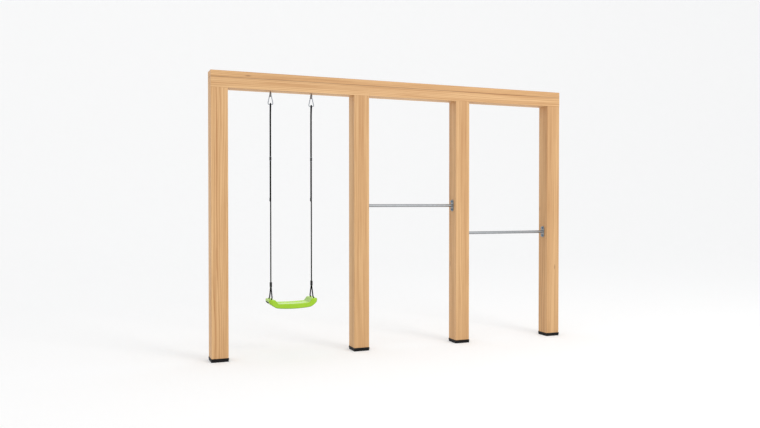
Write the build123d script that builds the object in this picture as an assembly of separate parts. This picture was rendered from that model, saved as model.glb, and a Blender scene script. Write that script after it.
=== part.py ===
from build123d import *
import math
import os

# Timber swing and pull-up frame: four posts on pads under one long two-layer beam, with a rope swing in
# the widest bay and a steel bar at a different height in each of the other two bays.
# Millimetres. +X runs along the beam, -Y is the front, +Z is up. The origin is the centre of the
# footprint at ground level.

os.makedirs("parts", exist_ok=True)

# ---- driving dimensions -------------------------------------------------------------------------
TOTAL_HEIGHT = 2400.0
POST_WIDTH = 140.0
POST_DEPTH = 140.0
BAY_CLEAR = (1105.0, 867.0, 867.0)      # clear gaps between posts: swing bay, high bar, low bar
BEAM_HEIGHT = 140.0
CAP_HEIGHT = 52.0                       # upper layer of the beam
TIMBER_EDGE = 3.0                       # rounded arris of posts and beam
JOINT_EDGE = 1.0                        # eased edge where two timbers meet

FOOT_HEIGHT = 30.0
FOOT_STEP_HEIGHT = 14.0                 # lower band of the foot, set in
FOOT_STEP_INSET = 2.0
FOOT_OVERHANG = 2.5
FOOT_EDGE = 1.5

BAR_DIAMETER = 26.9
BAR_WALL = 2.6
BAR_HEIGHT = (1288.0, 1028.0)           # bar axis above the ground: high bar, low bar
FLANGE_HEIGHT = 110.0
FLANGE_WIDTH = 50.0
FLANGE_THICK = 6.0
COLLAR_WALL = 3.2
COLLAR_LENGTH = 12.0
BOLT_PITCH = 75.0                       # between a flange's two bolts
BAR_CLEARANCE = 0.15                    # radial, bar in its collar

ROPE_DIAMETER = 10.0
ROPE_FROM_TIP = 32.5                    # rope's centre, in from the seat's tip
STRAND_WALL = 2.6                       # between the standing strand and the tail strand
STRAND_DROP = 89.8                      # the two strands run side by side from this far below the hook's bar
EYE_WIRE = 10.0
EYE_HOLE = 24.0
EYE_DROP = 26.0                         # beam underside to the eye's centre
HOOK_WIRE = 7.0
HOOK_HEIGHT = 78.0                      # between the centrelines of its top bow and bottom bar
HOOK_WIDTH = 42.0                       # between the centrelines of its legs, at the widest
HOOK_CORNER = 12.0
GATE_LENGTH = 34.0
GATE_PIN_DIAMETER = 2.4
GATE_TONGUE = 2.6                       # thickness of the tongue that the pin goes through
GATE_TONGUE_RADIUS = 2.8
PIN_CLEARANCE = 0.06
METAL_GAP = 0.3                         # between metal pieces that swing on each other

ADJUSTER_HEIGHT = 34.0                  # over its two end plates
ADJUSTER_SIDE_WALL = 2.0                # either side of its holes
ADJUSTER_END_WALL = 2.4                 # in front of and behind its holes
ADJUSTER_DROP = 457.8                   # from the hook's bar to its middle
ADJUSTER_PLATE = 3.0                    # thickness of the steel plate at each end
ADJUSTER_LIP = 0.6                      # how far the block stands out past its plates
ADJUSTER_WAIST = 1.0                    # depth of the groove round its middle
TAIL_DROP = 822.8                       # from the hook's bar to the end of the tail's stopper
STOP_WALL = 2.5
STOP_HEIGHT = 30.0
STOP_EDGE = 2.5
STOP_FLOOR = 4.0                        # closed end of the stopper, below the rope's end
FERRULE_HEIGHT = 42.0
FERRULE_SIDE_WALL = 4.0
FERRULE_WALL = 3.8
FERRULE_EDGE = 3.4
FERRULE_RISE = 122.5                    # from the top of the seat's ends to its middle
STRAND_PARTS = 8.0                      # below the ferrule's top, where the legs begin to part
LEG_LEAVES = 6.0                        # above the ferrule's bottom, where a leg bends outwards
ROPE_END_DEPTH = 17.0                   # above the ferrule's bottom, where the rope ends
LEG_WALL = 0.8                          # between the two legs at the ferrule
LEG_BEND = 62.0                         # where a leg straightens into its seat hole
ROPE_GAP = 0.3                          # rope to the pieces it passes through

SEAT_LENGTH = 425.0
SEAT_DEPTH = 180.0
SEAT_TOP = 450.0                        # flat middle, above the ground
SEAT_THICK = 48.0                       # down to where the underside's two slopes would meet
SEAT_BOW = 19.0                         # rise of the underside, from there to where it climbs
BOW_SHARE = 0.9                         # of each underside slope, taken up by the bow's arc
SEAT_END_RISE = 42.0                    # from the flat middle to the top of the ends
SEAT_END_LENGTH = 42.5                  # raised end, from its tip to its full height
SEAT_RAMP_LENGTH = 38.0                 # from there down to the flat top
SEAT_CLIMB_LENGTH = 57.5                # underside, from its tip to the bowed middle
SEAT_TIP_THICK = 28.0
SEAT_WALL = 3.5
SEAT_CORNER = 30.0
SEAT_EDGE = 7.0
SEAT_HOLE_PITCH = 90.0                  # between the two rope holes of one end
SEAT_HOLE_GAP = 0.35                    # radial, rope in its seat channel
SEAT_GROOVE = 4.0                       # rope's centre in from the tip and from the underside, where it crosses
SEAT_MOUTH = 8.0                        # above the seat's end, where a leg turns into its hole
VENT_DIAMETER = 6.0

LAG_DIAMETER = 10.0                     # beam-to-post and flange lag screws
LAG_HEAD = 17.0                         # across flats
LAG_HEAD_HEIGHT = 7.0
DOME_RADIUS = 7.2
DOME_HEIGHT = 6.5
POST_SCREW_LENGTH = 240.0
POST_SCREW_OFFSET = (30.0, 25.0)        # from the post's centre, along X and Y
FLANGE_SCREW_LENGTH = 60.0
WASHER_DIAMETER = 20.0
WASHER_THICK = 2.0
COUNTERBORE_DIAMETER = 32.0
COUNTERBORE_DEPTH = 22.0
EYE_WASHER_DIAMETER = 28.0
EYE_WASHER_THICK = 2.5
EYE_NUT = 17.0
EYE_NUT_HEIGHT = 8.0
WOOD_SCREW_DIAMETER = 8.0
WOOD_SCREW_HEAD = 16.0
DRIVE_RADIUS = 2.6                      # socket in a wood screw's head
DRIVE_DEPTH = 2.1
CAP_SCREW_LENGTH = 120.0
CAP_SCREW_STATIONS = 8
CAP_SCREW_Y = 50.0
CAP_SCREW_END = 100.0                   # first and last station, in from the beam's ends
FOOT_SCREW_LENGTH = 90.0
FOOT_SCREW_OFFSET = 40.0
FOOT_SCREW_RECESS = 4.0
SCREW_GAP = 0.25                        # radial, shank in its hole

# ---- places worked out from them ----------------------------------------------------------------
TOTAL_LENGTH = sum(BAY_CLEAR) + 4 * POST_WIDTH
BEAM_UNDERSIDE = TOTAL_HEIGHT - BEAM_HEIGHT
SEAM = TOTAL_HEIGHT - CAP_HEIGHT
POST_X = [
    -TOTAL_LENGTH / 2 + POST_WIDTH / 2 + sum(BAY_CLEAR[:i]) + i * POST_WIDTH for i in range(4)
]
SWING_X = (POST_X[0] + POST_X[1]) / 2
ROPE_SPACING = SEAT_LENGTH - 2 * ROPE_FROM_TIP
STRAND_PITCH = ROPE_DIAMETER + STRAND_WALL
LEG_GAP = ROPE_DIAMETER + LEG_WALL
ROPE_X = {"left": SWING_X - ROPE_SPACING / 2, "right": SWING_X + ROPE_SPACING / 2}
EYE_Z = BEAM_UNDERSIDE - EYE_DROP
EYE_RING = (EYE_HOLE + EYE_WIRE) / 2    # radius of the eye's centreline
EYE_LOW_Z = EYE_Z - EYE_RING            # centreline of the eye's lowest point
HOOK_BOW = (EYE_WIRE + HOOK_WIRE) / 2 + METAL_GAP
HOOK_TOP_Z = EYE_LOW_Z + HOOK_BOW       # centreline of the hook's bow, and its hinge axis
HOOK_BAR_Z = HOOK_TOP_Z - HOOK_HEIGHT   # centreline of the bar that the rope goes over
ROPE_BOW = (HOOK_WIRE + ROPE_DIAMETER) / 2 + ROPE_GAP
STRAND_JOIN = HOOK_BAR_Z - STRAND_DROP
ADJUSTER_CENTRE = HOOK_BAR_Z - ADJUSTER_DROP
TAIL_END = HOOK_BAR_Z - TAIL_DROP
SEAT_LOW = SEAT_TOP - SEAT_THICK
SEAT_END_TOP = SEAT_TOP + SEAT_END_RISE
SEAT_TIP_LOW = SEAT_END_TOP - SEAT_TIP_THICK
SEAT_SLOPE = math.atan2(SEAT_TIP_LOW - SEAT_LOW - SEAT_BOW, SEAT_CLIMB_LENGTH)
CROSS_OUT = ROPE_FROM_TIP - SEAT_GROOVE  # the crossing under the seat, outwards from the rope
ROPE_LOW_Z = SEAT_TIP_LOW + SEAT_GROOVE * (1 / math.cos(SEAT_SLOPE) - math.tan(SEAT_SLOPE))
FERRULE_CENTRE = SEAT_END_TOP + FERRULE_RISE
FERRULE_TOP = FERRULE_CENTRE + FERRULE_HEIGHT / 2
FERRULE_BOTTOM = FERRULE_CENTRE - FERRULE_HEIGHT / 2


def put(name, shape):
    """Write one node: a solid, or a group of identical separate solids."""
    shape.label = name
    export_step(shape, f"parts/{name}.step")


def group(shapes):
    return Compound(children=list(shapes))


def rod(radius, low, high, x=0.0, y=0.0):
    """A vertical cylinder between two heights."""
    return Pos(x, y, (low + high) / 2) * Cylinder(radius, high - low)


def rod_x(radius, low, high, y=0.0, z=0.0):
    """A cylinder along X between two places."""
    return Pos((low + high) / 2, y, z) * Rot(0, 90, 0) * Cylinder(radius, high - low)


def hexagon(across_flats, height):
    """A hexagonal prism standing on its base."""
    return extrude(RegularPolygon(across_flats / 2, 6, major_radius=False), height)


def countersunk_screw(length):
    """Head at the top, its flat face at the origin, shank downwards."""
    sink = (WOOD_SCREW_HEAD - WOOD_SCREW_DIAMETER) / 2
    head = Pos(0, 0, -sink / 2) * Cone(WOOD_SCREW_DIAMETER / 2, WOOD_SCREW_HEAD / 2, sink)
    shank = rod(WOOD_SCREW_DIAMETER / 2, -length, -sink / 2)
    return head + shank - rod(DRIVE_RADIUS, -DRIVE_DEPTH, 0.1)


def countersunk_hole(length):
    """The space that a countersunk screw needs, with its running gap."""
    sink = (WOOD_SCREW_HEAD - WOOD_SCREW_DIAMETER) / 2
    mouth = Pos(0, 0, -sink / 2 + SCREW_GAP / 2) * Cone(
        WOOD_SCREW_DIAMETER / 2 + SCREW_GAP, WOOD_SCREW_HEAD / 2 + SCREW_GAP, sink + SCREW_GAP
    )
    return mouth + rod(WOOD_SCREW_DIAMETER / 2 + SCREW_GAP, -length - 2, -sink / 2)


# ---- places of the fasteners --------------------------------------------------------------------
POST_SCREW_SPOTS = [
    (x + side * POST_SCREW_OFFSET[0], side * POST_SCREW_OFFSET[1]) for x in POST_X for side in (-1, 1)
]
POST_SCREW_SEAT = SEAM - COUNTERBORE_DEPTH
CAP_SPAN = TOTAL_LENGTH - 2 * CAP_SCREW_END
CAP_SCREW_SPOTS = [
    (-CAP_SPAN / 2 + CAP_SPAN * i / (CAP_SCREW_STATIONS - 1), y)
    for i in range(CAP_SCREW_STATIONS)
    for y in (-CAP_SCREW_Y, CAP_SCREW_Y)
]
FOOT_SCREW_SPOTS = [
    (dx, dy) for dx in (-FOOT_SCREW_OFFSET, FOOT_SCREW_OFFSET)
    for dy in (-FOOT_SCREW_OFFSET, FOOT_SCREW_OFFSET)
]
# each flange: node name, the post's face, the way it faces, the bar's height
FLANGES = [
    ("flange_high_left", POST_X[1] + POST_WIDTH / 2, 1, BAR_HEIGHT[0]),
    ("flange_high_right", POST_X[2] - POST_WIDTH / 2, -1, BAR_HEIGHT[0]),
    ("flange_low_left", POST_X[2] + POST_WIDTH / 2, 1, BAR_HEIGHT[1]),
    ("flange_low_right", POST_X[3] - POST_WIDTH / 2, -1, BAR_HEIGHT[1]),
]


# ---- timber and feet ----------------------------------------------------------------------------
def flange_screw_hole(face, way, z):
    depth = FLANGE_SCREW_LENGTH + 2
    return rod_x(LAG_DIAMETER / 2 + SCREW_GAP, min(face, face - way * depth),
                 max(face, face - way * depth), 0, z)


def post(index):
    height = BEAM_UNDERSIDE - FOOT_HEIGHT
    body = Pos(POST_X[index], 0, FOOT_HEIGHT + height / 2) * Box(POST_WIDTH, POST_DEPTH, height)
    body = fillet(body.edges().filter_by(Axis.Z), TIMBER_EDGE)
    for x, y in POST_SCREW_SPOTS[2 * index:2 * index + 2]:
        low = POST_SCREW_SEAT - POST_SCREW_LENGTH - 2
        body -= rod(LAG_DIAMETER / 2 + SCREW_GAP, low, BEAM_UNDERSIDE + 1, x, y)
    for dx, dy in FOOT_SCREW_SPOTS:
        top = FOOT_SCREW_RECESS + FOOT_SCREW_LENGTH + 2
        body -= rod(WOOD_SCREW_DIAMETER / 2 + SCREW_GAP, FOOT_HEIGHT - 1, top, POST_X[index] + dx, dy)
    for _, face, way, bar_z in FLANGES:
        if abs(face - POST_X[index]) < POST_WIDTH / 2 + 1:
            for side in (-1, 1):
                body -= flange_screw_hole(face, way, bar_z + side * BOLT_PITCH / 2)
    return body


def foot(index):
    """A moulded pad: a wider upper band over a lower band that is set in."""
    width, depth = POST_WIDTH + 2 * FOOT_OVERHANG, POST_DEPTH + 2 * FOOT_OVERHANG
    upper = Pos(0, 0, (FOOT_HEIGHT + FOOT_STEP_HEIGHT) / 2) * Box(
        width, depth, FOOT_HEIGHT - FOOT_STEP_HEIGHT
    )
    upper = chamfer(upper.edges().group_by(Axis.Z)[-1], FOOT_EDGE)
    lower = Pos(0, 0, FOOT_STEP_HEIGHT / 2) * Box(
        width - 2 * FOOT_STEP_INSET, depth - 2 * FOOT_STEP_INSET, FOOT_STEP_HEIGHT
    )
    body = upper + lower
    body = fillet(body.edges().filter_by(Axis.Z), FOOT_EDGE)
    for dx, dy in FOOT_SCREW_SPOTS:
        hole = Pos(dx, dy, FOOT_SCREW_RECESS) * Rot(180, 0, 0) * countersunk_hole(FOOT_SCREW_LENGTH)
        body -= hole
        body -= rod(WOOD_SCREW_HEAD / 2 + SCREW_GAP, -1, FOOT_SCREW_RECESS, dx, dy)
    return Pos(POST_X[index], 0, 0) * body


def beam_layer(low, high, low_edge, high_edge):
    """One layer of the beam between two heights, with its own rounding at each."""
    body = Pos(0, 0, (low + high) / 2) * Box(TOTAL_LENGTH, POST_DEPTH, high - low)
    body = fillet(body.edges().filter_by(Axis.X).group_by(Axis.Z)[0], low_edge)
    return fillet(body.edges().filter_by(Axis.X).group_by(Axis.Z)[-1], high_edge)


def beam_lower():
    body = beam_layer(BEAM_UNDERSIDE, SEAM, TIMBER_EDGE, JOINT_EDGE)
    for x in ROPE_X.values():
        body -= rod(EYE_WIRE / 2 + SCREW_GAP, BEAM_UNDERSIDE - 1, SEAM + 1, x)
        body -= rod(COUNTERBORE_DIAMETER / 2, SEAM - COUNTERBORE_DEPTH, SEAM + 1, x)
    for x, y in POST_SCREW_SPOTS:
        body -= rod(LAG_DIAMETER / 2 + SCREW_GAP, BEAM_UNDERSIDE - 1, SEAM + 1, x, y)
        body -= rod(COUNTERBORE_DIAMETER / 2, POST_SCREW_SEAT, SEAM + 1, x, y)
    for x, y in CAP_SCREW_SPOTS:
        low = TOTAL_HEIGHT - CAP_SCREW_LENGTH - 2
        body -= rod(WOOD_SCREW_DIAMETER / 2 + SCREW_GAP, low, SEAM + 1, x, y)
    return body


def beam_cap():
    body = beam_layer(SEAM, TOTAL_HEIGHT, JOINT_EDGE, TIMBER_EDGE)
    for x, y in CAP_SCREW_SPOTS:
        body -= Pos(x, y, TOTAL_HEIGHT) * countersunk_hole(CAP_SCREW_LENGTH)
    return body


# ---- fasteners ----------------------------------------------------------------------------------
def post_screw():
    """Flat-bottomed hexagon head standing on the origin, shank downwards."""
    return hexagon(LAG_HEAD, LAG_HEAD_HEIGHT) + rod(LAG_DIAMETER / 2, -POST_SCREW_LENGTH, 0.5)


def flange_bolt():
    """Hexagon head with a domed crown, on its washer at the origin, shank downwards."""
    head = hexagon(LAG_HEAD, LAG_HEAD_HEIGHT)
    dome = rod(DOME_RADIUS, LAG_HEAD_HEIGHT - 0.5, LAG_HEAD_HEIGHT + DOME_HEIGHT)
    dome = fillet(dome.edges().group_by(Axis.Z)[-1], DOME_HEIGHT - 1)
    shank = rod(LAG_DIAMETER / 2, -FLANGE_SCREW_LENGTH - FLANGE_THICK - WASHER_THICK, 0.5)
    return head + dome + shank


def washer(outer, hole, thick):
    return Pos(0, 0, thick / 2) * (Cylinder(outer / 2, thick) - Cylinder(hole / 2, thick * 2))


def on_flange(face, way, z, out):
    """The place of a fastener whose own +Z points out of a post's face."""
    return Pos(face + way * out, 0, z) * Rot(0, 90 * way, 0)


def each_flange_bolt():
    for _, face, way, bar_z in FLANGES:
        for side in (-1, 1):
            yield face, way, bar_z + side * BOLT_PITCH / 2


# ---- bars ---------------------------------------------------------------------------------------
def flange(face, way, z):
    """An oval plate with a collar that takes the bar's end."""
    plate = extrude(SlotOverall(FLANGE_HEIGHT, FLANGE_WIDTH), FLANGE_THICK)
    plate = chamfer(plate.edges().group_by(Axis.Z)[-1], 1.0)
    collar_radius = BAR_DIAMETER / 2 + BAR_CLEARANCE + COLLAR_WALL
    collar = rod(collar_radius, FLANGE_THICK / 2, FLANGE_THICK + COLLAR_LENGTH)
    body = plate + collar
    body = chamfer(body.edges().group_by(Axis.Z)[-1], 1.2)
    body -= rod(BAR_DIAMETER / 2 + BAR_CLEARANCE, FLANGE_THICK / 2, FLANGE_THICK + COLLAR_LENGTH + 1)
    for side in (-1, 1):
        body -= rod(LAG_DIAMETER / 2 + SCREW_GAP, -1, FLANGE_THICK + 1, side * BOLT_PITCH / 2)
    return on_flange(face, way, z, 0) * body


def bar(index):
    left, right = FLANGES[2 * index][1], FLANGES[2 * index + 1][1]
    low, high = left + FLANGE_THICK / 2, right - FLANGE_THICK / 2
    tube = rod_x(BAR_DIAMETER / 2, low, high, 0, BAR_HEIGHT[index])
    return tube - rod_x(BAR_DIAMETER / 2 - BAR_WALL, low - 1, high + 1, 0, BAR_HEIGHT[index])


# ---- swing hangers ------------------------------------------------------------------------------
def eye_bolt(x):
    """An eye in the YZ plane under a threaded shank that passes through the lower timber."""
    eye = Pos(x, 0, EYE_Z) * Rot(0, 90, 0) * Torus(EYE_RING, EYE_WIRE / 2)
    nut_top = SEAM - COUNTERBORE_DEPTH + EYE_WASHER_THICK + EYE_NUT_HEIGHT
    shank = rod(EYE_WIRE / 2, EYE_Z + EYE_RING, nut_top + 4, x)
    return eye + shank


def hook_outline():
    """The hook's closed centreline in XZ: its apex and two lower corners with their radii."""
    low, high = HOOK_BAR_Z, HOOK_TOP_Z
    tall = high - HOOK_BOW - (low + HOOK_CORNER)
    wide = HOOK_WIDTH / 2 - HOOK_CORNER
    reach = math.hypot(wide, tall)
    lean = math.atan2(wide, tall) + math.asin((HOOK_CORNER - HOOK_BOW) / reach)
    apex = high - HOOK_BOW + HOOK_BOW / math.sin(lean)
    foot_x = (apex - low) * math.tan(lean)
    return apex, foot_x, lean


def gate_frame(x):
    """A frame on the hook's right leg: +Z runs up the leg, and the gate's pin lies on its Y axis."""
    apex, _, lean = hook_outline()
    pin_z = HOOK_BAR_Z + HOOK_CORNER + 1.5 * HOOK_WIRE
    return Pos(x + (apex - pin_z) * math.tan(lean), 0, pin_z) * Rot(0, -math.degrees(lean), 0)


def hook(x):
    """A pear-shaped wire hook, open where its gate closes it, with a tongue for the gate's pin."""
    apex, foot_x, _ = hook_outline()
    frame = gate_frame(x)
    pin_end = -HOOK_WIRE / 2 - METAL_GAP
    nose = (frame * Pos(0, 0, GATE_LENGTH + METAL_GAP)).position
    heel = (frame * Pos(0, 0, pin_end)).position
    corners = [(x, 0, apex), (x - foot_x, 0, HOOK_BAR_Z), (x + foot_x, 0, HOOK_BAR_Z)]
    line = FilletPolyline(nose, *corners, heel, radius=[HOOK_BOW, HOOK_CORNER, HOOK_CORNER])
    body = sweep(Plane(origin=line @ 0, z_dir=line % 0) * Circle(HOOK_WIRE / 2), path=line)
    round_end = Rot(90, 0, 0) * Cylinder(GATE_TONGUE_RADIUS, GATE_TONGUE)
    strip = Pos(0, 0, pin_end) * Box(2 * GATE_TONGUE_RADIUS, GATE_TONGUE, -2 * pin_end)
    body += frame * (round_end + strip)
    return body - frame * Rot(90, 0, 0) * Cylinder(GATE_PIN_DIAMETER / 2, 3 * HOOK_WIRE)


def gate(x):
    """A round bar, forked at its foot round the hook's tongue."""
    foot_end = Sphere(HOOK_WIRE / 2)
    body = foot_end + rod(HOOK_WIRE / 2, 0, GATE_LENGTH)
    body = chamfer(body.edges().group_by(Axis.Z)[-1], 0.6)
    slot_top = GATE_TONGUE_RADIUS + METAL_GAP
    slot = Pos(0, 0, (slot_top - HOOK_WIRE) / 2) * Box(
        3 * HOOK_WIRE, GATE_TONGUE + 2 * METAL_GAP, slot_top + HOOK_WIRE
    )
    body -= slot
    body -= Rot(90, 0, 0) * Cylinder(GATE_PIN_DIAMETER / 2 + PIN_CLEARANCE, 3 * HOOK_WIRE)
    return gate_frame(x) * body


def gate_pin(x):
    return gate_frame(x) * Rot(90, 0, 0) * Cylinder(GATE_PIN_DIAMETER / 2, HOOK_WIRE - 1.0)


# ---- ropes and what is on them ------------------------------------------------------------------
# One rope's route, as (outwards along X, y, z, bend radius). A radius of None takes the largest that the
# two runs allow. It runs from the tail's end up over the hook's bar, down to the ferrule, down the front
# leg, through the seat's end, across under its tip and up the back leg to its end in the ferrule.
ROPE_START = (0.0, STRAND_PITCH, TAIL_END + STOP_FLOOR)
BOW_LEAN = ROPE_BOW / (HOOK_BAR_Z - STRAND_JOIN)    # slope of the standing strand below the hook
ROPE_ROUTE = [
    (0.0, STRAND_PITCH, STRAND_JOIN, None),
    (0.0, ROPE_BOW, HOOK_BAR_Z + ROPE_BOW, ROPE_BOW - 0.1),
    (0.0, -ROPE_BOW * (1 + BOW_LEAN), HOOK_BAR_Z + ROPE_BOW, ROPE_BOW - 0.1),
    (0.0, 0.0, STRAND_JOIN, None),
    (0.0, 0.0, FERRULE_TOP - STRAND_PARTS, None),
    (0.0, -LEG_GAP / 2, FERRULE_BOTTOM + LEG_LEAVES, None),
]
SEAT_ROUTE = [
    (0.0, -SEAT_HOLE_PITCH / 2, SEAT_END_TOP + SEAT_MOUTH, LEG_BEND),
    (CROSS_OUT, -SEAT_HOLE_PITCH / 2, ROPE_LOW_Z, ROPE_DIAMETER),
    (CROSS_OUT, SEAT_HOLE_PITCH / 2, ROPE_LOW_Z, ROPE_DIAMETER),
    (0.0, SEAT_HOLE_PITCH / 2, SEAT_END_TOP + SEAT_MOUTH, LEG_BEND),
]
LEG_ROUTE = [*SEAT_ROUTE, (0.0, LEG_GAP / 2, FERRULE_BOTTOM + LEG_LEAVES, None)]
ROPE_FINISH = (0.0, LEG_GAP / 2, FERRULE_BOTTOM + ROPE_END_DEPTH)


def bend_radii(route, start, finish):
    """Each corner's radius: its own, or 0.45 of its shorter run over the tangent of half the turn."""
    places = [start, *[p[:3] for p in route], finish]
    radii = []
    for before, here, after, (*_, own) in zip(places, places[1:], places[2:], route):
        come, go = Vector(*here) - Vector(*before), Vector(*after) - Vector(*here)
        half = math.radians(come.get_angle(go)) / 2
        radii.append(own or 0.45 * min(come.length, go.length) / math.tan(half))
    return radii


def tube(x, start, route, finish, radius):
    """A round tube along a route, straight runs joined by tangent arcs, on the rope's side of the seat."""
    outwards = math.copysign(1, x)
    places = [(x + outwards * out, y, z) for out, y, z in [start, *[p[:3] for p in route], finish]]
    line = FilletPolyline(*places, radius=bend_radii(route, start, finish))
    section = Plane(origin=line @ 0, z_dir=line % 0) * Circle(radius)
    return sweep(section, path=line), line.length


def rope(x):
    """One rope, at its place across the swing."""
    body, length = tube(x, ROPE_START, ROPE_ROUTE + LEG_ROUTE, ROPE_FINISH, ROPE_DIAMETER / 2)
    section = math.pi * ROPE_DIAMETER ** 2 / 4
    print(f"rope {length:.0f} mm long, volume over section times length {body.volume / section / length:.4f}")
    return Pos(SWING_X, 0, 0) * body


def seat_channel(x, radius):
    """The path that one rope takes through a seat end, as a tube of this radius."""
    start, finish = ROPE_ROUTE[-1][:3], LEG_ROUTE[-1][:3]
    return tube(x, start, SEAT_ROUTE, finish, radius)[0]


def strand_holes(x, low, high):
    """The space that the two strands take, with their running gap."""
    radius = ROPE_DIAMETER / 2 + ROPE_GAP
    return rod(radius, low, high, x, 0) + rod(radius, low, high, x, STRAND_PITCH)


def adjuster_slab(side_wall, end_wall, low, high):
    """A rounded block round both strands, with these walls, between two heights."""
    wide = ROPE_DIAMETER + 2 * (ROPE_GAP + side_wall)
    deep = STRAND_PITCH + ROPE_DIAMETER + 2 * (ROPE_GAP + end_wall)
    slab = extrude(SlotOverall(deep, wide, rotation=90), high - low)
    return Pos(0, STRAND_PITCH / 2, low) * slab


def adjuster(x):
    """A block with one hole for each strand and a groove round its middle."""
    low = ADJUSTER_CENTRE - ADJUSTER_HEIGHT / 2 + ADJUSTER_PLATE
    high = ADJUSTER_CENTRE + ADJUSTER_HEIGHT / 2 - ADJUSTER_PLATE
    body = adjuster_slab(ADJUSTER_SIDE_WALL, ADJUSTER_END_WALL, low, high)
    body = chamfer(body.edges().group_by(Axis.Z)[0] + body.edges().group_by(Axis.Z)[-1], ADJUSTER_LIP)
    walls = (ADJUSTER_SIDE_WALL, ADJUSTER_END_WALL)
    waist = [ADJUSTER_CENTRE - ADJUSTER_WAIST, ADJUSTER_CENTRE + ADJUSTER_WAIST]
    outside = adjuster_slab(*(wall + 1 for wall in walls), *waist)
    body -= outside - adjuster_slab(*(wall - ADJUSTER_WAIST for wall in walls), *waist)
    return Pos(x, 0, 0) * body - strand_holes(x, low - 1, high + 1)


def adjuster_plates(x):
    """The steel plates on the block's two ends."""
    walls = (ADJUSTER_SIDE_WALL - ADJUSTER_LIP, ADJUSTER_END_WALL - ADJUSTER_LIP)
    low, high = ADJUSTER_CENTRE - ADJUSTER_HEIGHT / 2, ADJUSTER_CENTRE + ADJUSTER_HEIGHT / 2
    for bottom in (low, high - ADJUSTER_PLATE):
        plate = Pos(x, 0, 0) * adjuster_slab(*walls, bottom, bottom + ADJUSTER_PLATE)
        yield plate - strand_holes(x, low - 1, high + 1)


def rope_stop(x, cord):
    """The stopper that closes the tail's end."""
    radius = ROPE_DIAMETER / 2 + STOP_WALL
    body = Pos(x, STRAND_PITCH, TAIL_END + STOP_HEIGHT / 2) * Cylinder(radius, STOP_HEIGHT)
    return fillet(body.edges().filter_by(GeomType.CIRCLE), STOP_EDGE) - cord


def ferrule(x, cord):
    """An oval sleeve pressed on the strands where the two legs part."""
    deep = LEG_GAP + ROPE_DIAMETER + 2 * FERRULE_WALL
    wide = ROPE_DIAMETER + 2 * FERRULE_SIDE_WALL
    body = extrude(SlotOverall(deep, wide, rotation=90), FERRULE_HEIGHT)
    body = fillet(body.edges().group_by(Axis.Z)[-1] + body.edges().group_by(Axis.Z)[0], FERRULE_EDGE)
    return Pos(x, 0, FERRULE_BOTTOM) * body - cord


# ---- seat ---------------------------------------------------------------------------------------
def seat_section():
    """The seat seen from the front: flat top, bowed underside that climbs to the tips, raised ends."""
    tip = SEAT_LENGTH / 2
    run = tip - SEAT_CLIMB_LENGTH
    bow_radius = BOW_SHARE * math.hypot(run, SEAT_BOW) * run / SEAT_BOW
    half = [
        (run, SEAT_LOW + SEAT_BOW, 30.0),
        (tip, SEAT_TIP_LOW, 7.0),
        (tip, SEAT_END_TOP, 9.0),
        (tip - SEAT_END_LENGTH, SEAT_END_TOP, 14.0),
        (tip - SEAT_END_LENGTH - SEAT_RAMP_LENGTH, SEAT_TOP, 20.0),
    ]
    outline = [(0, SEAT_LOW, bow_radius)] + half + [(-x, z, r) for x, z, r in reversed(half)]
    line = FilletPolyline(*[(x, 0, z) for x, z, _ in outline], radius=[r for *_, r in outline], close=True)
    return make_face(line)


def seat_shell(inset):
    """The seat's outer shape with its long edges rounded, or the same shape moved in by a wall."""
    section = seat_section()
    if inset:
        section = offset(section, amount=-inset)
    deep = SEAT_DEPTH - 2 * inset
    body = extrude(section, deep / 2, both=True)
    if not inset:
        sides = body.faces().sort_by(Axis.Y)
        body = fillet(sides[0].edges() + sides[-1].edges(), SEAT_EDGE)
    plan = extrude(
        RectangleRounded(SEAT_LENGTH - 2 * inset, deep, SEAT_CORNER - inset), TOTAL_HEIGHT
    )
    return body & plan


def seat():
    outer, cavity = seat_shell(0), seat_shell(SEAT_WALL)
    radius = ROPE_DIAMETER / 2 + SEAT_HOLE_GAP
    for side in (-1, 1):
        cavity -= seat_channel(side * ROPE_SPACING / 2, radius + SEAT_WALL)
    body = outer - cavity
    for side in (-1, 1):
        body -= seat_channel(side * ROPE_SPACING / 2, radius)
    body -= rod(VENT_DIAMETER / 2, SEAT_LOW - 1, SEAT_LOW + SEAT_THICK / 2)
    return Pos(SWING_X, 0, 0) * body


# ---- write every node ---------------------------------------------------------------------------
for number in range(4):
    put(f"post_{number + 1}", post(number))
    put(f"foot_{number + 1}", foot(number))
put("beam_lower", beam_lower())
put("beam_cap", beam_cap())
put("post_screws", group(Pos(x, y, POST_SCREW_SEAT) * post_screw() for x, y in POST_SCREW_SPOTS))
put("cap_screws", group(
    Pos(x, y, TOTAL_HEIGHT) * countersunk_screw(CAP_SCREW_LENGTH) for x, y in CAP_SCREW_SPOTS
))
put("foot_screws", group(
    Pos(x + dx, dy, FOOT_SCREW_RECESS) * Rot(180, 0, 0) * countersunk_screw(FOOT_SCREW_LENGTH)
    for x in POST_X for dx, dy in FOOT_SCREW_SPOTS
))
for name, face, way, z in FLANGES:
    put(name, flange(face, way, z))
put("bar_high", bar(0))
put("bar_low", bar(1))
put("flange_washers", group(
    on_flange(face, way, z, FLANGE_THICK)
    * washer(WASHER_DIAMETER, LAG_DIAMETER + 2 * SCREW_GAP, WASHER_THICK)
    for face, way, z in each_flange_bolt()
))
put("flange_bolts", group(
    on_flange(face, way, z, FLANGE_THICK + WASHER_THICK) * flange_bolt()
    for face, way, z in each_flange_bolt()
))
NUT_SEAT = SEAM - COUNTERBORE_DEPTH
put("eye_washers", group(
    Pos(x, 0, NUT_SEAT) * washer(EYE_WASHER_DIAMETER, EYE_WIRE + 2 * SCREW_GAP, EYE_WASHER_THICK)
    for x in ROPE_X.values()
))
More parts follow.
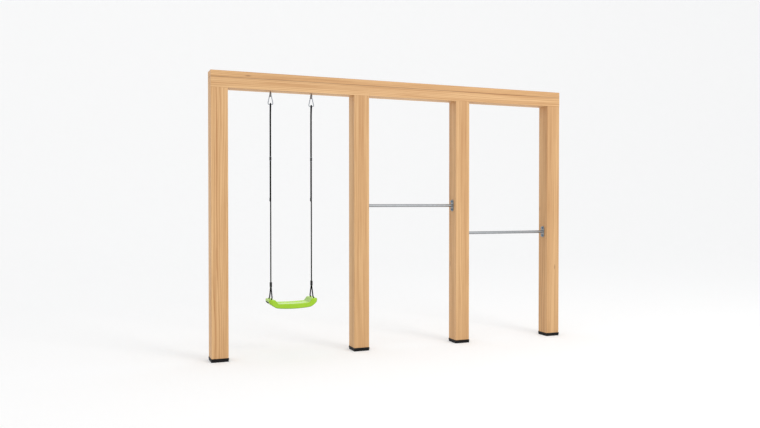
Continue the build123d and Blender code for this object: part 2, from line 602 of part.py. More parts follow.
put("eye_nuts", group(
    Pos(x, 0, NUT_SEAT + EYE_WASHER_THICK)
    * (hexagon(EYE_NUT, EYE_NUT_HEIGHT) - Cylinder(EYE_WIRE / 2, 4 * EYE_NUT_HEIGHT))
    for x in ROPE_X.values()
))
for side, x in ROPE_X.items():
    cord = rope(x - SWING_X)
    put(f"eye_bolt_{side}", eye_bolt(x))
    put(f"hook_{side}", hook(x))
    put(f"gate_{side}", gate(x))
    put(f"gate_pin_{side}", gate_pin(x))
    put(f"rope_{side}", cord)
    put(f"adjuster_{side}", adjuster(x))
    put(f"adjuster_plates_{side}", group(adjuster_plates(x)))
    put(f"rope_stop_{side}", rope_stop(x, cord))
    put(f"ferrule_{side}", ferrule(x, cord))
put("seat", seat())
print("rope bend radii", [round(r, 1) for r in bend_radii(ROPE_ROUTE + LEG_ROUTE, ROPE_START, ROPE_FINISH)])
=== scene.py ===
# %% [markdown]
# # A timber swing set with a rope swing and two exercise bars
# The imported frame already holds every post, beam, bar, bolt and hook at its true size. This lesson gives
# them their finishes, lays the two ropes as twisted cords, and blows the hollow seat into shape.

# %% Load the frame
import math

import bpy
import numpy as np
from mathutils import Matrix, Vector


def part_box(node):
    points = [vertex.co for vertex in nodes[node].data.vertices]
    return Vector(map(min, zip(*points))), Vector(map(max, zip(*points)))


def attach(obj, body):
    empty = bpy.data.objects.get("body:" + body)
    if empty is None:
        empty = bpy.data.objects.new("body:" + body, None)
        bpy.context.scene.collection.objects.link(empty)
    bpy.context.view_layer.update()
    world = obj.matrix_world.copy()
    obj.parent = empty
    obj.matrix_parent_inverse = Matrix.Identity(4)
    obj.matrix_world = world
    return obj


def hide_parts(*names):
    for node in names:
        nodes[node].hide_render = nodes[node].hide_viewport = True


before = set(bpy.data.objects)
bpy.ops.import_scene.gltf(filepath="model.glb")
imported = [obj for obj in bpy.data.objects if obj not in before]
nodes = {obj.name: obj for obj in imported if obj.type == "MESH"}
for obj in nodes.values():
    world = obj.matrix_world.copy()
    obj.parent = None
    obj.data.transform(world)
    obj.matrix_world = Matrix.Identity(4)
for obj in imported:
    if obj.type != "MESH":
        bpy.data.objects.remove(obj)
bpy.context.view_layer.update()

# %% [markdown]
# ## The camera
# A 35 mm lens stands a little to the left of the frame and is turned to the right, so the beam runs away
# from us and the left side of each post shows. It is held almost level, which keeps the posts upright.

# %% Camera
CAMERA_PLACE = (-2.6875, -6.1816, 1.3110)
CAMERA_TURN = math.radians(-22.06)      # to the right, seen from above
CAMERA_TILT = math.radians(-0.85)       # a touch downwards

lens = bpy.data.cameras.new("view_lens")
lens.lens = 35.0
lens.sensor_width = 36.0
camera = bpy.data.objects.new("view", lens)
camera.location = CAMERA_PLACE
camera.rotation_euler = (math.pi / 2 + CAMERA_TILT, 0, CAMERA_TURN)
bpy.context.scene.collection.objects.link(camera)
bpy.context.scene.camera = camera
print("camera", tuple(round(v, 3) for v in camera.location))

# %% [markdown]
# ## The ropes' route
# Each rope starts in a stopper, climbs through its adjuster, turns over the hook's bar and comes back down
# to the ferrule. From there the front leg goes through the seat's end, crosses under it and climbs back.
# A quadratic NURBS keeps the long stretches straight and rounds each turn; the extra points close to a
# turn keep that rounding as tight as the hook or the seat's channel.

# %% Route, as (outwards along X, y, z) in metres, for either rope
ROPE_ROUTE = [
    (0.0, 0.0126, 1.329), (0.0, 0.0126, 1.99), (0.0, 0.0126, 2.058), (0.0, 0.0108, 2.101),
    (0.0, 0.0093, 2.135), (0.0, 0.0088, 2.1566), (0.0, -0.0097, 2.1566), (0.0, -0.0078, 2.137),
    (0.0, -0.0042, 2.101), (0.0, 0.0, 2.058), (0.0, 0.0, 1.99), (0.0, 0.0, 0.690),
    (0.0, 0.0, 0.6275), (0.0, -0.0054, 0.5995), (0.0, -0.0115, 0.584), (0.0, -0.0365, 0.5214),
    (0.0, -0.045, 0.500), (0.0218, -0.045, 0.474), (0.0285, -0.045, 0.466), (0.0285, -0.035, 0.466),
    (0.0285, 0.035, 0.466), (0.0285, 0.045, 0.466), (0.0218, 0.045, 0.474), (0.0, 0.045, 0.500),
    (0.0, 0.0365, 0.5214), (0.0, 0.0115, 0.584), (0.0, 0.0054, 0.5995), (0.0, 0.0054, 0.6105),
]
ROUTE_STEPS = 16                        # straight pieces that Blender draws between two route points


def rope_spline(name, x, outwards):
    """The rope's centreline as a curve with no thickness."""
    curve = bpy.data.curves.new(name, "CURVE")
    curve.dimensions = "3D"
    curve.resolution_u = ROUTE_STEPS
    spline = curve.splines.new("NURBS")
    spline.points.add(len(ROPE_ROUTE) - 1)
    for point, (out, y, z) in zip(spline.points, ROPE_ROUTE):
        point.co = (x + outwards * out, y, z, 1)
    spline.order_u = 3
    spline.use_endpoint_u = True
    guide = bpy.data.objects.new(name, curve)
    bpy.context.scene.collection.objects.link(guide)
    return guide


def line_of(guide):
    """The places along a guide curve, read from Blender's own evaluation of it; the guide is removed."""
    bpy.context.view_layer.update()
    mesh = bpy.data.meshes.new_from_object(guide)
    places = np.array([v.co for v in mesh.vertices])
    bpy.data.objects.remove(guide)
    return places


def evenly(places, step):
    """The same line with places a constant step apart, and the length of it."""
    runs = np.linalg.norm(np.diff(places, axis=0), axis=1)
    along = np.concatenate([[0], np.cumsum(runs)])
    at = np.linspace(0, along[-1], int(along[-1] / step) + 1)
    return np.stack([np.interp(at, along, places[:, k]) for k in range(3)], axis=1), along[-1]


print(len(ROPE_ROUTE), "points lead each rope")

# %% [markdown]
# ## Laid rope
# Three strands twisted together leave three spiral valleys. One tube whose outline has three lobes, and
# turns as it goes along, has the same outside as three separate strands, but it is one clean closed mesh.

# %% Twisted three-lobed tube
STRANDS = 3
LAY_LENGTH = 0.036                      # one full turn of the strands
ROPE_STEP = 0.0024                      # between neighbouring rings of the mesh
ROPE_SIDES = 18
CROWN_RADIUS = 0.0055
CROWN_SHAPE = 0.8                       # below 1 the crowns are broad and the valleys narrow
VALLEY = 0.91                           # the valley's radius as a share of the crown's


def mesh_object(name, verts, faces):
    mesh = bpy.data.meshes.new(name)
    mesh.from_pydata([tuple(map(float, v)) for v in verts], [], [tuple(f) for f in faces])
    mesh.validate()
    mesh.update()
    mesh.polygons.foreach_set("use_smooth", [True] * len(mesh.polygons))
    made = bpy.data.objects.new(name, mesh)
    bpy.context.scene.collection.objects.link(made)
    return made


def ring_faces(rings, sides):
    """Quads between neighbouring rings, and a flat cap at each end."""
    faces = [
        (r * sides + s, r * sides + (s + 1) % sides,
         (r + 1) * sides + (s + 1) % sides, (r + 1) * sides + s)
        for r in range(rings - 1) for s in range(sides)
    ]
    return faces + [tuple(reversed(range(sides))), tuple(range((rings - 1) * sides, rings * sides))]


def carried_frame(places):
    """Two directions across the line at each place, carried along it without twisting."""
    ahead = np.gradient(places, axis=0)
    ahead /= np.linalg.norm(ahead, axis=1)[:, None]
    side = np.array([1.0, 0.0, 0.0])
    sides = []
    for step in ahead:
        side = side - step * side.dot(step)
        side /= np.linalg.norm(side)
        sides.append(side)
    return np.array(sides), np.cross(ahead, sides)


def laid_rope(name, x, outwards):
    """A rope on its route: the piece, the places along its centreline, and its length."""
    places, length = evenly(line_of(rope_spline(name + "_route", x, outwards)), ROPE_STEP)
    side, up = carried_frame(places)
    turn = 2 * math.pi * np.arange(len(places)) * (length / (len(places) - 1)) / LAY_LENGTH
    around = np.linspace(0, 2 * math.pi, ROPE_SIDES, endpoint=False)
    crown = np.abs(np.cos(STRANDS * around / 2)) ** CROWN_SHAPE
    radius = CROWN_RADIUS * (VALLEY + (1 - VALLEY) * crown)
    angle = turn[:, None] + around[None, :]
    verts = (
        places[:, None, :]
        + radius[None, :, None] * np.cos(angle)[..., None] * side[:, None, :]
        + radius[None, :, None] * np.sin(angle)[..., None] * up[:, None, :]
    )
    rope = mesh_object(name, verts.reshape(-1, 3), ring_faces(len(places), ROPE_SIDES))
    return rope, places, length


ropes, rope_lines = {}, {}
for hand, outwards in (("left", -1), ("right", 1)):
    low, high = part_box(f"rope_stop_{hand}")
    rope, places, length = laid_rope(f"laid_rope_{hand}", (low.x + high.x) / 2, outwards)
    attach(rope, "swing")
    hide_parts(f"rope_{hand}")
    ropes[hand], rope_lines[hand] = rope, places
    print(rope.name, "is", round(length, 3), "m long")

# %% [markdown]
# ## Small helpers for node materials
# A material is a little graph. `add` places one node, sets its menu choices, and feeds its inputs with
# either plain values or another node's output, so each finish below reads as a short recipe.

# %% Node helpers


def add(tree, kind, inputs=None, **choices):
    node = tree.nodes.new(kind)
    for key, value in choices.items():
        setattr(node, key, value)
    for key, value in (inputs or {}).items():
        socket = node.inputs[key]
        if isinstance(value, bpy.types.NodeSocket):
            tree.links.new(value, socket)
        else:
            socket.default_value = value
    return node


def maths(tree, operation, *values, clamp=False):
    node = add(tree, "ShaderNodeMath", dict(enumerate(values)), operation=operation, use_clamp=clamp)
    return node.outputs[0]


def blend_colour(tree, share, first, second):
    node = tree.nodes.new("ShaderNodeMix")
    node.data_type = "RGBA"
    for index, value in ((0, share), (6, first), (7, second)):
        if isinstance(value, bpy.types.NodeSocket):
            tree.links.new(value, node.inputs[index])
        else:
            node.inputs[index].default_value = value
    return node.outputs[2]


def noise(tree, vector, scale, detail=2.0, rough=0.5, distortion=0.0):
    node = add(tree, "ShaderNodeTexNoise", {
        "Vector": vector, "Scale": scale, "Detail": detail, "Roughness": rough, "Distortion": distortion})
    return node.outputs["Fac"]


def stretched(tree, vector, scale, move=(0, 0, 0)):
    node = add(tree, "ShaderNodeMapping", {"Vector": vector, "Scale": scale, "Location": move})
    return node.outputs[0]


def between(tree, value, low, high, to_low=0.0, to_high=1.0):
    node = add(tree, "ShaderNodeMapRange", {
        "Value": value, "From Min": low, "From Max": high, "To Min": to_low, "To Max": to_high})
    return node.outputs[0]


def new_group(name, inputs, outputs):
    """An empty node group with named sockets, and its input and output nodes."""
    tree = bpy.data.node_groups.new(name, "ShaderNodeTree")
    kinds = {"v": "NodeSocketVector", "f": "NodeSocketFloat", "c": "NodeSocketColor"}
    for socket, kind, default in inputs:
        made = tree.interface.new_socket(socket, in_out="INPUT", socket_type=kinds[kind])
        if default is not None:
            made.default_value = default
    for socket, kind in outputs:
        tree.interface.new_socket(socket, in_out="OUTPUT", socket_type=kinds[kind])
    return tree, tree.nodes.new("NodeGroupInput").outputs, tree.nodes.new("NodeGroupOutput").inputs


def new_material(name):
    material = bpy.data.materials.new(name)
    material.use_nodes = True
    tree = material.node_tree
    surface = tree.nodes["Principled BSDF"]
    place = tree.nodes.new("ShaderNodeTexCoord").outputs["Object"]
    return material, tree, surface, place


def place_group(tree, group, inputs):
    node = tree.nodes.new("ShaderNodeGroup")
    node.node_tree = group
    for key, value in inputs.items():
        if isinstance(value, bpy.types.NodeSocket):
            tree.links.new(value, node.inputs[key])
        else:
            node.inputs[key].default_value = value
    return node.outputs


def bump(tree, surface, height, strength, distance):
    node = add(tree, "ShaderNodeBump", {"Height": height, "Strength": strength, "Distance": distance})
    tree.links.new(node.outputs[0], surface.inputs["Normal"])


def paint(material, *names):
    for name in names:
        node = nodes[name]
        node.data.materials.clear()
        node.data.materials.append(material)


print("node helpers ready")

# %% [markdown]
# ## Planed softwood
# A post is cut from a log, so its faces slice through growth rings: nearly straight lines where the saw
# ran through the rings, wider flames where it ran along them. The group below measures how far a place is
# from a pith line beside the timber, bends that with slow noise along the grain, and repeats it as rings.
# Long streaks, fine fibres and a few pin knots go on top. Because it is worked out in space, and not
# painted on a face, the end of the beam shows the same rings cut across.

# %% Wood group
LINE_BROWN, LINE_DEPTH = (0.40, 0.185, 0.065, 1), 0.42
KNOT_BROWN, KNOT_DEPTH = (0.20, 0.085, 0.03, 1), 0.55
RING_WANDER = 0.022                     # slow noise moves a ring by up to half of this, in metres
wood, given, out = new_group(
    "planed_softwood",
    [("Place", "v", None), ("Pith", "v", (0.0, 0.0, 0.0)), ("Light", "c", (0.7, 0.4, 0.2, 1)),
     ("Dark", "c", (0.4, 0.2, 0.1, 1)), ("Rings", "f", 95.0)],
    [("Color", "c"), ("Roughness", "f"), ("Height", "f")],
)
slow = add(wood, "ShaderNodeTexNoise", {
    "Vector": stretched(wood, given["Place"], (5, 5, 0.9)), "Scale": 1.0, "Detail": 2.0}).outputs["Color"]
bend = add(wood, "ShaderNodeVectorMath", {0: slow, 1: (0.5, 0.5, 0.5)}, operation="SUBTRACT").outputs[0]
bend = add(wood, "ShaderNodeVectorMath", {0: bend, 1: (RING_WANDER, RING_WANDER, 0.0)},
           operation="MULTIPLY").outputs[0]
from_pith = add(wood, "ShaderNodeVectorMath", {0: given["Place"], 1: given["Pith"]},
                operation="SUBTRACT").outputs[0]
from_pith = add(wood, "ShaderNodeVectorMath", {0: from_pith, 1: bend}, operation="ADD").outputs[0]
flat = add(wood, "ShaderNodeVectorMath", {0: from_pith, 1: (1, 1, 0)}, operation="MULTIPLY").outputs[0]
distance = add(wood, "ShaderNodeVectorMath", {0: flat}, operation="LENGTH").outputs["Value"]
years = noise(wood, stretched(wood, given["Place"], (3, 3, 0.2), (7.7, 0.0, 0.0)), 1.0, 1.0)
spacing = maths(wood, "MULTIPLY", given["Rings"], between(wood, years, 0.3, 0.7, 0.93, 1.07))
ring = maths(wood, "FRACT", maths(wood, "MULTIPLY", distance, spacing))
late_wood = maths(wood, "POWER", ring, 3.0)
late_wood = maths(wood, "MULTIPLY", late_wood, between(wood, ring, 1.0, 0.94))
streak = noise(wood, stretched(wood, given["Place"], (105, 105, 1.1)), 1.0, 5.0, 0.62, 0.8)
streak = between(wood, streak, 0.38, 0.68)
broad = noise(wood, stretched(wood, given["Place"], (13, 13, 0.45), (3.1, 1.7, 0.4)), 1.0, 2.0)
broad = between(wood, broad, 0.36, 0.66)
fibre = noise(wood, stretched(wood, given["Place"], (620, 620, 9)), 1.0, 2.0, 0.6)
fibre = between(wood, fibre, 0.3, 0.75)
line = noise(wood, stretched(wood, given["Place"], (120, 120, 0.9), (0.0, 5.3, 2.0)), 1.0, 3.0, 0.6, 0.5)
line = between(wood, line, 0.60, 0.72)
amount = 0.0
for grain, share in ((late_wood, 0.55), (streak, 0.46), (broad, 0.30), (fibre, 0.14)):
    amount = maths(wood, "ADD", amount, maths(wood, "MULTIPLY", grain, share), clamp=True)
knots = add(wood, "ShaderNodeTexVoronoi", {
    "Vector": stretched(wood, given["Place"], (7.5, 7.5, 2.1)), "Scale": 1.0, "Randomness": 1.0,
}).outputs["Distance"]
knot = between(wood, knots, 0.075, 0.03)
colour = blend_colour(wood, amount, given["Light"], given["Dark"])
colour = blend_colour(wood, maths(wood, "MULTIPLY", line, LINE_DEPTH), colour, LINE_BROWN)
colour = blend_colour(wood, maths(wood, "MULTIPLY", knot, KNOT_DEPTH), colour, KNOT_BROWN)
wood.links.new(colour, out["Color"])
wood.links.new(maths(wood, "ADD", 0.46, maths(wood, "MULTIPLY", amount, 0.16)), out["Roughness"])
wood.links.new(maths(wood, "SUBTRACT", maths(wood, "MULTIPLY", fibre, 0.35), amount), out["Height"])
print(wood.name, "has", len(wood.nodes), "nodes")

# %% [markdown]
# ## One tree for each timber
# No two posts come from the same place in a log. Each timber gets its own material, which puts the pith
# somewhere else and tints the colour a little. A standing post's grain runs up Z. The beam's runs along X,
# so its coordinates are turned to bring X up to Z before they reach the group. The beam's materials
# also paint shade in a narrow dark band along the joint of its two layers, on top of the edges that are
# eased there.

# %% Timber materials
LIGHT_WOOD = (0.83, 0.545, 0.275, 1)
DARK_WOOD = (0.47, 0.225, 0.080, 1)
SEAM_SHADE_BROWN, SEAM_SHADE_DEPTH = (0.20, 0.095, 0.04, 1), 0.75
SEAM_FAINT, SEAM_FULL = 0.0030, 0.0012  # how far from the joint the painted shade band starts, and is at its darkest
BEAM_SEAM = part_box("beam_cap")[0].z
RINGS_PER_METRE = 95.0


def timber_material(name, along_x, pith, tint):
    material, tree, surface, place = new_material(name)
    if along_x:
        height = add(tree, "ShaderNodeSeparateXYZ", {0: place}).outputs["Z"]
        place = add(tree, "ShaderNodeMapping", {
            "Vector": place, "Rotation": (0, math.radians(-90), 0)}).outputs[0]
    light = tuple(min(1.0, c * t) for c, t in zip(LIGHT_WOOD, (*tint, 1)))
    dark = tuple(min(1.0, c * t) for c, t in zip(DARK_WOOD, (*tint, 1)))
    grain = place_group(tree, wood, {
        "Place": place, "Pith": pith, "Light": light, "Dark": dark, "Rings": RINGS_PER_METRE})
    colour = grain["Color"]
    # painted shade: a narrow dark band along the joint of the beam's two layers
    if along_x:
        off_seam = maths(tree, "ABSOLUTE", maths(tree, "SUBTRACT", height, BEAM_SEAM))
        seam_shade = between(tree, off_seam, SEAM_FAINT, SEAM_FULL)
        colour = blend_colour(tree, maths(tree, "MULTIPLY", seam_shade, SEAM_SHADE_DEPTH), colour, SEAM_SHADE_BROWN)
    tree.links.new(colour, surface.inputs["Base Color"])
    tree.links.new(grain["Roughness"], surface.inputs["Roughness"])
    bump(tree, surface, grain["Height"], 0.35, 0.0006)
    return material


POST_TREES = [                          # where each post's pith lies, and its tint
    ((-1.16, 0.27, 0.0), (0.97, 0.96, 0.94)),
    ((-0.86, 0.22, 0.0), (0.95, 0.94, 0.91)),
    ((1.12, -0.26, 0.0), (0.93, 0.91, 0.88)),
    ((1.13, 0.30, 0.0), (0.92, 0.90, 0.87)),
]
for number, (pith, tint) in enumerate(POST_TREES, 1):
    paint(timber_material(f"softwood_post_{number}", False, pith, tint), f"post_{number}")
paint(timber_material("softwood_beam", True, (-1.93, 0.34, 0.0), (0.97, 0.96, 0.94)), "beam_lower")
paint(timber_material("softwood_cap", True, (-2.75, -0.30, 0.0), (0.93, 0.89, 0.83)), "beam_cap")
print(len(POST_TREES) + 2, "timber materials")

# %% [markdown]
# ## Steel finishes
# Hot-dip galvanising freezes in flat crystals, the spangle, so neighbouring patches reflect a little
# differently. Zinc plate on the bolts is smooth and bluish. One group makes the mottled mask for both, and
# each finish sets its own size and strength.

# %% Mottled metal group and the finishes
mottle, given, out = new_group(
    "mottled_metal",
    [("Place", "v", None), ("Size", "f", 120.0), ("Amount", "f", 0.3)],
    [("Shade", "f"), ("Height", "f")],
)
cells = add(mottle, "ShaderNodeTexVoronoi", {"Vector": given["Place"], "Scale": given["Size"]})
patch = add(mottle, "ShaderNodeSeparateColor", {"Color": cells.outputs["Color"]}).outputs[0]
dirt = noise(mottle, given["Place"], 35.0, 4.0, 0.6)
patch = maths(mottle, "ADD", maths(mottle, "MULTIPLY", patch, 0.6), maths(mottle, "MULTIPLY", dirt, 0.4))
shade = maths(mottle, "MULTIPLY", maths(mottle, "SUBTRACT", patch, 0.5), given["Amount"])
mottle.links.new(shade, out["Shade"])
mottle.links.new(patch, out["Height"])


DARK_SHARE = 0.72                       # a dark patch's colour as a share of a light one's
ROUGH_SWING = 0.12


def steel(name, colour, roughness, patches, mottling):
    material, tree, surface, place = new_material(name)
    made = place_group(tree, mottle, {"Place": place, "Size": patches, "Amount": mottling})
    darker = tuple(c * DARK_SHARE for c in colour) + (1,)
    share = maths(tree, "ADD", made["Shade"], 0.5)
    tree.links.new(blend_colour(tree, share, darker, (*colour, 1)), surface.inputs["Base Color"])
    rough = maths(tree, "SUBTRACT", roughness, maths(tree, "MULTIPLY", made["Shade"], ROUGH_SWING))
    tree.links.new(rough, surface.inputs["Roughness"])
    surface.inputs["Metallic"].default_value = 1.0
    bump(tree, surface, made["Height"], 0.05, 0.0004)
    return material


STEELS = [                              # name, colour, roughness, patches per metre, mottling, pieces
    ("galvanised_tube", (0.40, 0.42, 0.44), 0.42, 130.0, 0.7, ("bar_", "flange_high", "flange_low")),
    ("blue_zinc", (0.30, 0.40, 0.50), 0.33, 300.0, 0.5, ("flange_bolts", "flange_washers")),
    ("yellow_zinc", (0.52, 0.46, 0.30), 0.40, 300.0, 0.5, ("cap_screws", "post_screws", "foot_screws")),
    ("forged_eye", (0.30, 0.30, 0.31), 0.46, 200.0, 0.6, ("eye_",)),
    ("bright_wire", (0.34, 0.37, 0.42), 0.34, 260.0, 0.4, ("hook_", "gate_", "adjuster_plates_")),
]
for name, colour, roughness, patches, mottling, starts in STEELS:
    pieces = [n for n in nodes if n.startswith(starts)]
    paint(steel(name, colour, roughness, patches, mottling), *pieces)
    print(name, "on", len(pieces), "pieces")

# %% [markdown]
# ## Black moulded parts and rope fibre
# The pads, adjusters, ferrules and stoppers are moulded in black plastic with a fine eroded texture. The
# rope's twist is already in its shape, so its material only adds fibres: a fine noise, stretched along
# the hanging rope, that roughens it and varies the black.

# %% Black finishes
def moulded(name, dark, light, roughness, grain_size, strength, gloss):
    material, tree, surface, place = new_material(name)
    speck = noise(tree, place, grain_size, 3.0, 0.6)
    cloud = between(tree, noise(tree, place, 18.0, 3.0), 0.35, 0.7)
    tree.links.new(blend_colour(tree, cloud, dark, light), surface.inputs["Base Color"])
    rough = maths(tree, "ADD", roughness, maths(tree, "MULTIPLY", maths(tree, "SUBTRACT", speck, 0.5), 0.25))
    tree.links.new(rough, surface.inputs["Roughness"])
    surface.inputs["Specular IOR Level"].default_value = gloss
    bump(tree, surface, speck, strength, 0.0005)
    return material


pad_black = moulded("pad_black", (0.003, 0.003, 0.0035, 1), (0.008, 0.008, 0.009, 1),
                    roughness=0.62, grain_size=900.0, strength=0.35, gloss=0.2)
paint(pad_black, *(f"foot_{n}" for n in range(1, 5)))
fitting_black = moulded("fitting_black", (0.004, 0.004, 0.0045, 1), (0.009, 0.009, 0.010, 1),
                        roughness=0.45, grain_size=1400.0, strength=0.2, gloss=0.25)
paint(fitting_black, *(f"{part}_{hand}" for part in ("adjuster", "ferrule", "rope_stop")
                        for hand in ("left", "right")))

fibre_black, tree, surface, place = new_material("rope_fibre")
threads = noise(tree, stretched(tree, place, (2200, 2200, 260)), 1.0, 2.0, 0.6)
tuft = between(tree, noise(tree, place, 60.0, 3.0), 0.35, 0.7)
colour = blend_colour(tree, threads, (0.001, 0.001, 0.0011, 1), (0.006, 0.006, 0.0066, 1))
colour = blend_colour(tree, maths(tree, "MULTIPLY", tuft, 0.4), colour, (0.003, 0.003, 0.0033, 1))
tree.links.new(colour, surface.inputs["Base Color"])
tree.links.new(maths(tree, "ADD", 0.70, maths(tree, "MULTIPLY", threads, 0.2)), surface.inputs["Roughness"])
surface.inputs["Specular IOR Level"].default_value = 0.0
bump(tree, surface, threads, 0.5, 0.0004)
for rope in ropes.values():
    rope.data.materials.append(fibre_black)
print("black finishes done")

# %% [markdown]
# ## The seat
# A blow-moulded seat is one hollow skin: a flat middle with a raised rim, an underside that climbs to both
# tips, and thick raised ends that the ropes pass through. Its outline from the front is a short list of
# heights joined by smooth steps, and every cross-section is a rounded box between those two heights, so a
# grid of sections lofted from tip to tip makes the whole skin in one piece.

# %% Seat skin
seat_low, seat_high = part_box("seat")
SEAT_MIDDLE = (seat_low + seat_high) / 2
SEAT_HALF = (seat_high - seat_low) / 2
END_TOP = seat_high.z
RIM_TOP = END_TOP - 0.034
RIM_SAG = 0.004                         # the rim is lowest at its middle
TIP_THICK = 0.028
RISE_START, RISE_END = 0.130, 0.168     # half lengths between which the top climbs to its ends
CLIMB_START = 0.155                     # half length where the underside turns up
CLIMB_SOFT = 0.010
BOW_RISE = 0.0095                       # the underside's rise up to there
CORNER = 0.034
RIM_WIDTH = 0.018
RIM_FALL = 0.010                        # width of the slope from the rim down to the tray
DISH = 0.0045                           # depth of the tray inside the rim
TRAY_END, TRAY_FADE = 0.016, 0.026      # the tray fades out from so far before the top climbs
EDGE = 0.0085                           # rounding of the long edges
TIP_EDGE = 0.009


def smooth(t):
    t = min(1.0, max(0.0, t))
    return t * t * (3 - 2 * t)


def top_height(x):
    sag = RIM_SAG * (1 - min(1.0, abs(x) / RISE_START) ** 2)
    return RIM_TOP - sag + (END_TOP - RIM_TOP) * smooth((abs(x) - RISE_START) / (RISE_END - RISE_START))


def bottom_height(x):
    bow = BOW_RISE * (x / CLIMB_START) ** 2
    over = abs(x) - CLIMB_START
    tip_bow = BOW_RISE * (SEAT_HALF.x / CLIMB_START) ** 2
    climb = (END_TOP - TIP_THICK - seat_low.z - tip_bow) / (SEAT_HALF.x - CLIMB_START)
    return seat_low.z + bow + climb * (over + math.hypot(over, CLIMB_SOFT)) / 2


def half_depth(x):
    into = max(0.0, abs(x) - (SEAT_HALF.x - CORNER))
    return SEAT_HALF.y - CORNER + math.sqrt(CORNER * CORNER - into * into)


print("seat ends rise", round(1000 * (END_TOP - RIM_TOP)), "mm above the rim")

# %% Sections of the seat
ARC_STEPS = 7
TOP_STEPS = 40
MOST_ROUND = 0.98                       # the most of half the thickness that an edge may round off


def rounded(centre_y, centre_z, radius, first):
    """A quarter turn round one edge of the section, clockwise from this angle in degrees."""
    turns = [math.radians(first - 90 * k / ARC_STEPS) for k in range(ARC_STEPS + 1)]
    return [(centre_y + radius * math.cos(a), centre_z + radius * math.sin(a)) for a in turns]


def section(x):
    """One closed loop of (y, z) at a station: a rounded box whose top is a shallow tray."""
    into = max(0.0, abs(x) - (SEAT_HALF.x - TIP_EDGE))
    pull = TIP_EDGE - math.sqrt(max(0.0, TIP_EDGE * TIP_EDGE - into * into))
    top, bottom, deep = top_height(x) - pull, bottom_height(x) + pull, half_depth(x)
    edge = min(EDGE, (top - bottom) / 2 * MOST_ROUND)
    inner = deep - edge
    lower = [(inner - 2 * inner * k / TOP_STEPS, bottom) for k in range(1, TOP_STEPS)]
    level = 1 - smooth((abs(x) - RISE_START + TRAY_END) / TRAY_FADE)
    upper = []
    for k in range(1, TOP_STEPS):
        y = -inner + 2 * inner * k / TOP_STEPS
        inside = smooth((deep - RIM_WIDTH - abs(y)) / RIM_FALL)
        upper.append((y, top - DISH * inside * level))
    loop = rounded(inner, top - edge, edge, 90) + rounded(inner, bottom + edge, edge, 0) + lower
    loop += rounded(-inner, bottom + edge, edge, -90) + rounded(-inner, top - edge, edge, 180) + upper
    return loop[::-1]


SPAN_STEPS, TIP_STEPS = 110, 6
round_tip = [SEAT_HALF.x - TIP_EDGE * (1 - math.sin(math.pi / 2 * k / TIP_STEPS))
             for k in range(TIP_STEPS + 1)]
flat_part = [round_tip[0] * (2 * k / SPAN_STEPS - 1) for k in range(1, SPAN_STEPS)]
xs = [-x for x in reversed(round_tip)] + flat_part + round_tip
loops = [section(x) for x in xs]
verts = [(SEAT_MIDDLE.x + x, SEAT_MIDDLE.y + y, z) for x, loop in zip(xs, loops) for y, z in loop]
seat_skin = mesh_object("seat_skin", verts, ring_faces(len(xs), len(loops[0])))
print("seat skin has", len(verts), "places in", len(xs), "sections")

# %% [markdown]
# ## Rope holes
# Each rope leg drops through the seat's raised end and the rope crosses under the tip in a groove. A
# boolean cut with a tube that is a little fatter than the rope, and follows the same line, opens the
# holes and the groove where the rope really runs, so the rope never touches the skin.

# %% Cut the rope's way through the seat
HOLE_RADIUS = 0.0062
HOLE_SIDES = 20
HOLE_ABOVE = 0.03                       # the cutters reach this far above the seat's ends
CUTTER_STRIDE = 3                       # every third place along the rope is enough for a cutter


def round_tube(name, places, radius):
    side, up = carried_frame(places)
    around = np.linspace(0, 2 * math.pi, HOLE_SIDES, endpoint=False)
    verts = (places[:, None, :] + radius * np.cos(around)[None, :, None] * side[:, None, :]
             + radius * np.sin(around)[None, :, None] * up[:, None, :])
    return mesh_object(name, verts.reshape(-1, 3), ring_faces(len(places), HOLE_SIDES))


def cut(piece, cutter):
    """Take the cutter's shape out of the piece for good, and remove the cutter."""
    knife = piece.modifiers.new("cut", "BOOLEAN")
    knife.operation = "DIFFERENCE"
    knife.solver = "EXACT"
    knife.object = cutter
    bpy.context.view_layer.update()
    shaped = bpy.data.meshes.new_from_object(piece.evaluated_get(bpy.context.evaluated_depsgraph_get()))
    piece.modifiers.clear()
    piece.data = shaped
    bpy.data.objects.remove(cutter)


for hand, places in rope_lines.items():
    low_part = places[places[:, 2] < END_TOP + HOLE_ABOVE]
    cut(seat_skin, round_tube(f"hole_{hand}", low_part[::CUTTER_STRIDE], HOLE_RADIUS))
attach(seat_skin, "swing")
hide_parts("seat")
print("seat skin has", len(seat_skin.data.polygons), "faces after the cuts")

# %% [markdown]
# ## Lime plastic
# Blow-moulded polyethylene is dyed right through, has a soft, slightly waxy gloss, and keeps a faint
# orange peel from the mould. The colour also follows the way a face looks, measured on the piece itself,
# and stays put when the seat swings: the top is painted paler as painted light, and the underside is
# painted deeper as painted shade.

# %% Seat material
LIME = ((0.300, 0.545, 0.006, 1), (0.335, 0.590, 0.010, 1))
LIT_TOP_LIME = (0.50, 0.86, 0.02, 1)
SHADED_UNDER_LIME = (0.145, 0.285, 0.004, 1)
lime, tree, surface, place = new_material("lime_plastic")
peel = noise(tree, place, 420.0, 3.0, 0.55)
cloud = between(tree, noise(tree, place, 9.0, 3.0), 0.3, 0.7)
colour = blend_colour(tree, cloud, *LIME)
facing = add(tree, "ShaderNodeTexCoord").outputs["Normal"]
facing = add(tree, "ShaderNodeSeparateXYZ", {0: facing}).outputs["Z"]
# painted light and shade: faces looking up are painted paler, faces looking down deeper
colour = blend_colour(tree, between(tree, facing, 0.75, 0.97), colour, LIT_TOP_LIME)
colour = blend_colour(tree, between(tree, facing, -0.05, -0.75), colour, SHADED_UNDER_LIME)
tree.links.new(colour, surface.inputs["Base Color"])
tree.links.new(maths(tree, "ADD", 0.17, maths(tree, "MULTIPLY", peel, 0.08)), surface.inputs["Roughness"])
bump(tree, surface, peel, 0.05, 0.0003)
seat_skin.data.materials.append(lime)
print("lime plastic on", seat_skin.name)

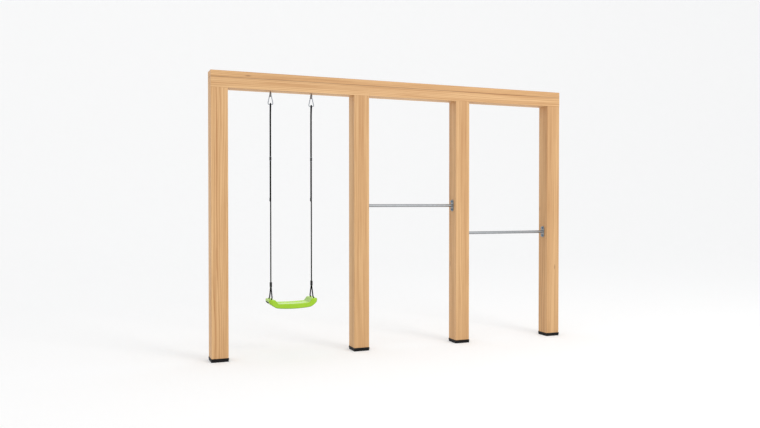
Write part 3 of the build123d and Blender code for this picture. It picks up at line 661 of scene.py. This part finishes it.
# %% [markdown]
# ## Floor, backdrop and light
# A white sweep runs flat under the frame and curls up behind it, which hides the horizon. A room that is
# nearly as bright all round keeps the sides of the timber pale, and one soft key from the front right
# makes the front faces a little brighter and leaves a faint shadow by each pad.

# %% Stage
SWEEP_FRONT, SWEEP_BACK, SWEEP_SIDE = -14.0, 9.0, 30.0
SWEEP_RADIUS, SWEEP_TOP = 7.0, 24.0
SWEEP_STEPS = 24
profile = [(SWEEP_FRONT, 0.0)]
for k in range(SWEEP_STEPS + 1):
    turn = math.pi / 2 * k / SWEEP_STEPS
    profile.append((SWEEP_BACK + SWEEP_RADIUS * math.sin(turn), SWEEP_RADIUS * (1 - math.cos(turn))))
profile.append((SWEEP_BACK + SWEEP_RADIUS, SWEEP_TOP))
sweep_verts = [(x, y, z) for y, z in profile for x in (-SWEEP_SIDE, SWEEP_SIDE)]
sweep_faces = [(2 * k, 2 * k + 1, 2 * k + 3, 2 * k + 2) for k in range(len(profile) - 1)]
sweep = mesh_object("white_sweep", sweep_verts, sweep_faces)
PAPER_WHITE, PAPER_GLOW = (0.80, 0.80, 0.80, 1), 0.20
paper, tree, surface, place = new_material("white_paper")
surface.inputs["Base Color"].default_value = PAPER_WHITE
surface.inputs["Roughness"].default_value = 1.0
surface.inputs["Specular IOR Level"].default_value = 0.0
surface.inputs["Emission Color"].default_value = (1, 1, 1, 1)
surface.inputs["Emission Strength"].default_value = PAPER_GLOW
sweep.data.materials.append(paper)

ROOM_COLOUR, ROOM_STRENGTH = (0.985, 0.992, 1.0, 1), 0.90
world = bpy.data.worlds.new("white_room")
bpy.context.scene.world = world
world.use_nodes = True
background = world.node_tree.nodes["Background"]
background.inputs["Color"].default_value = ROOM_COLOUR
background.inputs["Strength"].default_value = ROOM_STRENGTH
bpy.context.scene.view_settings.view_transform = "Standard"

KEY_PLACE, KEY_AIM = Vector((2.6, -6.5, 5.0)), Vector((0.0, 0.0, 1.0))
key = bpy.data.lights.new("key", "AREA")
key.shape = "SQUARE"
key.size = 3.0
key.energy = 160.0
key.color = (1.0, 0.97, 0.93)
lamp = bpy.data.objects.new("key", key)
lamp.location = KEY_PLACE
lamp.rotation_euler = (KEY_AIM - KEY_PLACE).to_track_quat("-Z", "Y").to_euler()
bpy.context.scene.collection.objects.link(lamp)
print("stage set")

# %% Finish
print("scene built")
